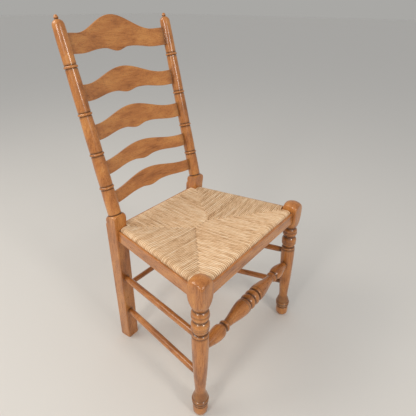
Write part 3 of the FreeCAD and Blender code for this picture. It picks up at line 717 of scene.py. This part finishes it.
for number in range(slats["count"]):
    slat = cutSlat(number)
    wood = stainedBeech("stainedBeechSlat" + str(number + 1), acrossGrain, 10.3 + number * 1.7, 0.02)
    finish(slat, wood, "stained_wood", "back_slat_" + str(number + 1))
print("slats bent")


# Seat strips, rails and pins keep their own shapes
sideGrains = dict(front=acrossGrain, rear=acrossGrain, left=frontBackGrain, right=frontBackGrain)
for side, grain in sideGrains.items():
    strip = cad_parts["seat_strip_" + side]
    strip.data.materials.clear()
    strip.data.materials.append(stainedBeech("stainedBeechStrip" + side.title(), grain,
                                             dice.uniform(20, 30), 0.0))
    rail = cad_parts["seat_rail_" + side]
    rail.data.materials.clear()
    rail.data.materials.append(stainedBeech("rawBeechRail" + side.title(), grain,
                                            dice.uniform(30, 40), 0.12))


def brightBrad():
    # drawn steel wire brads, heads filed flush: small bright points
    material, tree = newMaterial("filedSteelBrad")
    place = addNode(tree, "TexCoord").outputs["Object"]
    scratch = addNode(tree, "TexNoise", {"Scale": 1800.0, "Detail": 2.0}, Vector=place).outputs["Fac"]
    steel = [(0.35, "8E8A83"), (0.65, "D8D4CB")]
    tone = addNode(tree, "ValToRGB", {"stops": steel}, Fac=scratch).outputs["Color"]
    rough = addNode(tree, "MapRange", {"To Min": 0.25, "To Max": 0.5}, Value=scratch).outputs[0]
    shader = addNode(tree, "BsdfPrincipled", {"Metallic": 1.0}, Base_Color=tone, Roughness=rough)
    tree.links.new(shader.outputs[0], addNode(tree, "OutputMaterial").inputs["Surface"])
    return material


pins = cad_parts["strip_pins"]
pins.data.materials.clear()
pins.data.materials.append(brightBrad())


# Rush: every strand is laid by itself, over its rail and down into the seam.
# Plan sizes are measured from the front legs; distances run in from the panel's outer edge.
rush = dict(
    frontEdge=-8.5, rearEdge=392.0, frontCorner=268.4, rearCorner=198.7, seamHalf=32.0, seamBack=199.0,
    top=468.0, middle=449.0, bottom=430.0, drop=15.0, lift=7.0, sag=1.6, nose=14.0, crisp=0.72, thick=5.8,
    frontLimit=233.0, rearLimit=172.6, sideFront=27.2, sideRear=365.6,
    frontStrands=29, rearStrands=23, centreStrands=9, sides=8,
    toothOut=2.4, toothIn=-1.8, sway=1.1, toneDrop=0.45, packing=0.98, twistPerMetre=95.0,
)


def sideEdge(y):
    share = (y - rush["frontEdge"]) / (rush["rearEdge"] - rush["frontEdge"])
    return rush["frontCorner"] + (rush["rearCorner"] - rush["frontCorner"]) * share


def mitreDepth(lateral, corner, seamEnd, outer, seam):
    # how far in from the outer edge the mitre lies at this place along it
    share = (corner - lateral) / (corner - seamEnd)
    return share * abs(seam - outer)


def laySpline(curve, points):
    spline = curve.splines.new("POLY")
    spline.points.add(len(points) - 1)
    for point, (place, radius) in zip(spline.points, points):
        point.co = (*(Vector(place) * mm), 1)
        point.radius = radius


def strandPath(depth, full, tooth):
    # inward distance and height along one strand, from the seam below to the seam above
    half, nose = rush["thick"] / 2, rush["nose"]

    def share(distance):
        return max(0.0, (distance - nose) / (full - nose))

    def above(distance):
        s = share(distance)
        return rush["top"] - half - rush["drop"] * s - rush["sag"] * math.sin(math.pi * s)

    def below(distance):
        return rush["bottom"] + half + rush["lift"] * share(distance)

    path = [(depth, below(depth) + 6), (depth - 1.5, below(depth) + 1)]
    path += [(nose + (depth - nose) * k, below(nose + (depth - nose) * k)) for k in (0.7, 0.35)]
    for step in range(9):
        spin = math.pi * (step / 8 - 0.5)
        out = (nose - half) * math.cos(spin) ** rush["crisp"]
        tall = (rush["top"] - rush["bottom"]) / 2 - half
        up = math.copysign(abs(math.sin(spin)) ** rush["crisp"], spin) * tall
        path.append((nose - out, rush["middle"] + up))
    end = depth + tooth
    steps = 9 if depth > 90 else 6 if depth > 50 else 3
    for step in range(1, steps + 1):
        distance = nose + (end - 3.0 - nose) * step / steps
        path.append((distance, above(distance)))
    path += [(end - 0.9, above(end) - 1.0), (end + 0.2, above(end) - 3.4), (end + 0.1, above(end) - 8.0)]
    return path


def rushPanel(name, strands, place, seed, railWay, firstStrandShade):
    # strands are (along the rail, depth, full depth, width); place puts a strand's point on the seat; the
    # last argument, the panel's painted shade (none at the front, a little at the rear, most at the sides),
    # lowers the tone of the first strand only; rush["toneDrop"] lowers that of the others alike
    luck = random.Random(seed)
    curve = bpy.data.curves.new(name, "CURVE")
    curve.dimensions = "3D"
    curve.bevel_depth = rush["thick"] / 2 * mm
    curve.bevel_resolution = rush["sides"] // 2 - 2
    rings = []
    for number, (lateral, depth, full, wide) in enumerate(strands):
        tooth = rush["toothOut"] if number % 2 else rush["toothIn"]
        drop = rush["toneDrop"] if number else firstStrandShade
        lift, tone, twist = luck.uniform(-0.3, 0.35), luck.random() - drop, luck.uniform(0, 6)
        points, along = [], luck.uniform(0, 1)
        last = None
        for distance, height in strandPath(depth, full, tooth + luck.uniform(-0.5, 0.5)):
            sway = noise.noise(Vector((number * 0.3, distance * 0.022, seed))) * rush["sway"]
            puff = noise.noise(Vector((number * 5.1, distance * 0.04, seed + 9)))
            spot = Vector(place(lateral + sway, distance, height + lift + puff * 0.35, number))
            if last is not None:
                along += (spot - last).length * mm
            last = spot
            points.append((spot, wide * (1 + 0.06 * puff)))
            rings.append((along, tone, twist, 0.0))
        for back, shade in ((1, 1.0), (2, 0.9), (3, 0.45)):         # painted shade on each strand's end, where it dives into the seam
            rings[-back] = (*rings[-back][:3], shade)
        laySpline(curve, points)
    piece = bpy.data.objects.new(name, curve)
    bpy.context.scene.collection.objects.link(piece)
    pickOnly(piece)
    bpy.ops.object.convert(target="MESH")
    piece = bpy.context.object
    piece.data.name = name
    mesh = piece.data
    sides = len(mesh.vertices) // len(rings)
    mesh.attributes.new("fibre", "FLOAT_VECTOR", "POINT")
    mesh.attributes.new("tone", "FLOAT", "POINT")
    mesh.attributes.new("crevice", "FLOAT", "POINT")
    fibre, tones, gapShades = (mesh.attributes[layer] for layer in ("fibre", "tone", "crevice"))
    for number in range(len(mesh.vertices)):
        along, tone, twist, shade = rings[number // sides]
        angle = 2 * math.pi * (number % sides) / sides + twist
        fibre.data[number].vector = (math.cos(angle), math.sin(angle), along)
        tones.data[number].value = tone
        beside = abs(mesh.vertices[number].normal.dot(Vector(railWay)))
        # painted shade on a strand's sides, where it lies against its neighbours
        gapShades.data[number].value = max(shade, ease(beside, 0.5, 0.98))
    pickOnly(piece)
    bpy.ops.object.mode_set(mode="EDIT")
    bpy.ops.mesh.select_all(action="SELECT")
    bpy.ops.mesh.fill_holes(sides=rush["sides"])
    bpy.ops.mesh.select_all(action="SELECT")
    bpy.ops.mesh.normals_make_consistent(inside=False)
    bpy.ops.object.mode_set(mode="OBJECT")
    return piece


def panelStrands(count, low, high, depthAt, fullAt):
    pitch = (high - low) / count
    wide = pitch / rush["thick"] * rush["packing"]
    places = [low + pitch * (k + 0.5) for k in range(count)]
    return [(spot, depthAt(spot), fullAt(spot), wide) for spot in places]


def endStrands(corner, limit, edge, count):
    # a front or rear panel, from one leg across the middle to the other
    full = abs(rush["seamBack"] - edge)

    def depthAt(x):
        return min(full, mitreDepth(abs(x), corner, rush["seamHalf"], edge, rush["seamBack"]))

    half = rush["seamHalf"]
    return (panelStrands(count, -limit, -half, depthAt, lambda x: full)
            + panelStrands(rush["centreStrands"], -half, half, depthAt, lambda x: full)
            + panelStrands(count, half, limit, depthAt, lambda x: full))


def sideDepth(y):
    if y < rush["seamBack"]:
        share = (y - rush["frontEdge"]) / (rush["seamBack"] - rush["frontEdge"])
        corner = rush["frontCorner"]
    else:
        share = (rush["rearEdge"] - y) / (rush["rearEdge"] - rush["seamBack"])
        corner = rush["rearCorner"]
    return sideEdge(y) - (corner + (rush["seamHalf"] - corner) * share)


def sideFull(y):
    return sideEdge(y) - rush["seamHalf"]


def frontPlace(along, distance, height, number):
    return along, rush["frontEdge"] + distance, height


def rearPlace(along, distance, height, number):
    return along, rush["rearEdge"] - distance, height


def sidePlace(along, distance, height, number):
    # the first strands are pushed round the head of the front leg
    crowd = 4.0 * math.exp(-number / 3.0) * math.sin(math.pi * min(1.0, distance / 34.0))
    return sideEdge(along) - distance, along + crowd, height


def wovenRush():
    # twisted rush, dried straw brown: dull fibres that wind round each strand, with painted shade in the gaps
    # between strands and at their ends
    material, tree = newMaterial("wovenRush")
    fibre = addNode(tree, "Attribute", {"attribute_name": "fibre"}).outputs["Vector"]
    tone = addNode(tree, "Attribute", {"attribute_name": "tone"}).outputs["Fac"]
    along = addNode(tree, "SeparateXYZ", Vector=fibre).outputs["Z"]
    winding = addNode(tree, "Math", {"operation": "MULTIPLY", 1: rush["twistPerMetre"]}, i0=along).outputs[0]
    wound = addNode(tree, "VectorRotate", {"rotation_type": "Z_AXIS"}, Vector=fibre, Angle=winding).outputs[0]
    spread = addNode(tree, "CombineXYZ", X=tone, Y=tone, Z=tone).outputs[0]
    apart = addNode(tree, "VectorMath", {"operation": "SCALE", "Scale": 31.0}, i0=spread).outputs[0]
    own = addNode(tree, "VectorMath", {"operation": "ADD"}, i0=wound, i1=apart).outputs[0]
    thin = addNode(tree, "Mapping", {"Scale": (3.4, 3.4, 30.0)}, Vector=own).outputs[0]
    leaf = addNode(tree, "TexNoise", {"Scale": 1.0, "Detail": 3.0, "Roughness": 0.6},
                   Vector=thin).outputs["Fac"]
    broad = addNode(tree, "Mapping", {"Scale": (0.5, 0.5, 26.0)}, Vector=own).outputs[0]
    patch = addNode(tree, "TexNoise", {"Scale": 1.0, "Detail": 2.0}, Vector=broad).outputs["Fac"]
    first = addNode(tree, "Mix", {"data_type": "FLOAT", "Factor": 0.4}, A=leaf, B=patch).outputs[0]
    mixed = addNode(tree, "Math", {"operation": "MULTIPLY_ADD", 1: 0.12}, i0=tone, i2=first).outputs[0]
    straw = [(0.34, "B4875C"), (0.46, "E6BE91"), (0.58, "F8D8B0"), (0.72, "FDE9CC")]
    colour = addNode(tree, "ValToRGB", {"stops": straw}, Fac=mixed).outputs["Color"]
    # the painted shade of the gaps and strand ends, in dark brown
    gap = addNode(tree, "Attribute", {"attribute_name": "crevice"}).outputs["Fac"]
    deep = addNode(tree, "Math", {"operation": "MULTIPLY", 1: 0.6}, i0=gap).outputs[0]
    shaded = addNode(tree, "Mix", {"data_type": "RGBA", 7: hexColour("6E4A28")},
                     i0=deep, i6=colour).outputs[2]
    bump = addNode(tree, "Bump", {"Strength": 0.6, "Distance": 0.5 * mm}, Height=leaf).outputs[0]
    rough = addNode(tree, "MapRange", {"From Min": 0.3, "From Max": 0.7, "To Min": 0.52, "To Max": 0.72},
                    Value=leaf).outputs[0]
    shader = addNode(tree, "BsdfPrincipled", {"Sheen Weight": 0.08, "Sheen Roughness": 0.4},
                     Base_Color=shaded, Roughness=rough, Normal=bump)
    tree.links.new(shader.outputs[0], addNode(tree, "OutputMaterial").inputs["Surface"])
    return material


rushMaterial = wovenRush()
# each panel's last argument is its painted shade, which reaches only its first strand
frontRush = rushPanel("rushPanelFront", endStrands(rush["frontCorner"], rush["frontLimit"], rush["frontEdge"],
                                                   rush["frontStrands"]), frontPlace, 3, (1, 0, 0), 0.0)
rearRush = rushPanel("rushPanelRear", endStrands(rush["rearCorner"], rush["rearLimit"], rush["rearEdge"],
                                                 rush["rearStrands"]), rearPlace, 5, (1, 0, 0), 0.1)
sideStrands = (panelStrands(rush["frontStrands"], rush["sideFront"], rush["seamBack"], sideDepth, sideFull)
               + panelStrands(rush["rearStrands"], rush["seamBack"], rush["sideRear"], sideDepth, sideFull))
leftRush = rushPanel("rushPanelLeft", sideStrands, sidePlace, 7, (0, 1, 0), rush["toneDrop"])
rightRush = rushPanel("rushPanelRight", sideStrands, sidePlace, 8, (0, 1, 0), rush["toneDrop"])
rightRush.data.transform(Matrix.Scale(-1, 4, (1, 0, 0)))
rightRush.data.flip_normals()
for piece in (frontRush, rearRush, leftRush, rightRush):
    finish(piece, rushMaterial, "rush", "rush_seat")


# Stuffing: four wedge pads in the hollow of the rush, drawn in at their edges
stuffing = dict(edgeGap=34.0, mitreGap=9.0, clearance=8.6, fill=0.7)


def stuffingPad(name, place, widthAt, depth, full):
    bpy.ops.object.select_all(action="DESELECT")
    bpy.ops.mesh.primitive_cube_add(size=2)
    pad = bpy.context.object
    pad.name = pad.data.name = name
    bpy.ops.object.mode_set(mode="EDIT")
    bpy.ops.mesh.subdivide(number_cuts=15)
    bpy.ops.object.mode_set(mode="OBJECT")

    def pack(corner):
        u, v, w = (corner.x * mm, corner.y * mm, corner.z * mm)
        distance = stuffing["edgeGap"] + (depth - stuffing["mitreGap"] - stuffing["edgeGap"]) * (v + 1) / 2
        share = (distance - rush["nose"]) / (full - rush["nose"])
        fall = rush["drop"] * share + rush["sag"] * math.sin(math.pi * share)
        high = rush["top"] - stuffing["clearance"] - fall
        low = rush["bottom"] + stuffing["clearance"] + rush["lift"] * share
        crown = 0.3 + 0.7 * ((1 - u ** 6) * (1 - v ** 6)) ** 0.5
        ripple = 0.5 * noise.noise(Vector((u * 3, v * 3, 4.0)))
        height = (high + low) / 2 + w * crown * ((high - low) / 2 + ripple)
        return place(u * (1 - 0.03 * v * v) * widthAt(distance), distance, height, 0)

    reshape(pad, pack)
    pickOnly(pad)
    bpy.ops.object.mode_set(mode="EDIT")
    bpy.ops.mesh.select_all(action="SELECT")
    bpy.ops.mesh.remove_doubles(threshold=0.05 * mm)
    bpy.ops.mesh.normals_make_consistent(inside=False)
    bpy.ops.object.mode_set(mode="OBJECT")
    return pad


def cutRushStuffing():
    # chopped rush ends: dull straw, blotched, never seen unless the seat is opened
    material, tree = newMaterial("choppedRushStuffing")
    place = addNode(tree, "TexCoord").outputs["Object"]
    chaff = addNode(tree, "TexNoise", {"Scale": 160.0, "Detail": 4.0}, Vector=place).outputs["Fac"]
    chopped = [(0.35, "8E6B41"), (0.65, "C9A672")]
    colour = addNode(tree, "ValToRGB", {"stops": chopped}, Fac=chaff).outputs["Color"]
    bump = addNode(tree, "Bump", {"Strength": 0.6, "Distance": 1.0 * mm}, Height=chaff).outputs[0]
    shader = addNode(tree, "BsdfPrincipled", {"Roughness": 0.85}, Base_Color=colour, Normal=bump)
    tree.links.new(shader.outputs[0], addNode(tree, "OutputMaterial").inputs["Surface"])
    return material


def endWidth(corner, edge):
    full = abs(rush["seamBack"] - edge)

    def width(distance):
        inner = corner + (rush["seamHalf"] - corner) * distance / full
        return inner - 12
    return width


stuffingMaterial = cutRushStuffing()
frontDepth = rush["seamBack"] - rush["frontEdge"]
rearDepth = rush["rearEdge"] - rush["seamBack"]
sideReach = sideFull(rush["seamBack"])


def sideWidth(distance):
    share = 1 - distance / sideReach
    return share * (rearDepth + frontDepth) / 2 * 0.86


def leftPad(along, distance, height, number):
    middle = rush["seamBack"] - 8 * (1 - distance / sideReach)
    return sideEdge(middle + along) - distance - 3, middle + along, height


pads = [
    stuffingPad("stuffingFront", frontPlace, endWidth(rush["frontCorner"], rush["frontEdge"]),
                frontDepth, frontDepth),
    stuffingPad("stuffingRear", rearPlace, endWidth(rush["rearCorner"], rush["rearEdge"]),
                rearDepth, rearDepth),
    stuffingPad("stuffingLeft", leftPad, sideWidth, sideReach - 12, sideReach),
]
pads.append(copyAcross(pads[2], "stuffingRight"))
for pad in pads:
    finish(pad, stuffingMaterial, "rush_stuffing", "seat_stuffing")
print("stuffing packed")
print("rush woven", sum(len(p.data.polygons) for p in (frontRush, rearRush, leftRush, rightRush)), "faces")


# Camera, floor and light
photoView = dict(
    place=(-0.88527, -0.76740, 1.11526), tilt=66.27, roll=-0.44, heading=-52.84, lens=33.92, shift=-0.0751,
)
bpy.ops.object.camera_add(
    location=photoView["place"],
    rotation=[math.radians(photoView[key]) for key in ("tilt", "roll", "heading")],
)
camera = bpy.context.object
camera.data.lens = photoView["lens"]
camera.data.shift_y = photoView["shift"]
bpy.context.scene.camera = camera

# the backdrop has the grey at which the far floor renders, so no horizon shows
studio = dict(floor="D6D3CE", backdrop="A9A8A5", room="E6E7E8", roomStrength=0.72, size=80.0)
bpy.ops.mesh.primitive_plane_add(size=studio["size"])
floor = bpy.context.object
floor.name = "studioFloor"
paper, tree = newMaterial("paleStudioFloor")
shader = addNode(tree, "BsdfPrincipled", {"Base Color": hexColour(studio["floor"]), "Roughness": 0.85})
tree.links.new(shader.outputs[0], addNode(tree, "OutputMaterial").inputs["Surface"])
floor.data.materials.append(paper)

world = bpy.data.worlds.new("softRoom")
bpy.context.scene.world = world
world.use_nodes = True
tree = world.node_tree
tree.nodes.clear()
roomLight = {"Color": hexColour(studio["room"]), "Strength": studio["roomStrength"]}
room = addNode(tree, "Background", roomLight).outputs[0]
pale = addNode(tree, "Background", {"Color": hexColour(studio["backdrop"]), "Strength": 1.0}).outputs[0]
path = addNode(tree, "LightPath")
seen = addNode(tree, "Math", {"operation": "MAXIMUM"}, i0=path.outputs["Is Camera Ray"],
               i1=path.outputs["Is Glossy Ray"]).outputs[0]
ray = addNode(tree, "Math", {"operation": "MAXIMUM"}, i0=seen,
              i1=path.outputs["Is Transmission Ray"]).outputs[0]
shown = addNode(tree, "MixShader", i0=ray, i1=room, i2=pale).outputs[0]
tree.links.new(shown, addNode(tree, "OutputWorld").inputs["Surface"])


def softLight(name, place, target, size, power, tint):
    bpy.ops.object.light_add(type="AREA", location=place)
    lamp = bpy.context.object
    lamp.name = name
    lamp.data.shape = "RECTANGLE"
    lamp.data.size, lamp.data.size_y = size
    lamp.data.energy = power
    lamp.data.color = hexColour(tint)[:3]
    lamp.rotation_euler = (Vector(target) - Vector(place)).to_track_quat("-Z", "Y").to_euler()


softLight("highWindow", (-1.5, 1.7, 2.7), (0, 0, 0.5), (1.8, 1.2), 36, "FFF6EA")
softLight("leftWindow", (-2.4, -0.35, 1.9), (0, 0, 0.5), (0.45, 0.8), 20, "FFFAF2")
softLight("frontWindow", (-0.6, -2.5, 1.9), (0, 0, 0.5), (0.45, 0.8), 20, "FFFAF2")
bpy.context.scene.view_settings.view_transform = "Standard"
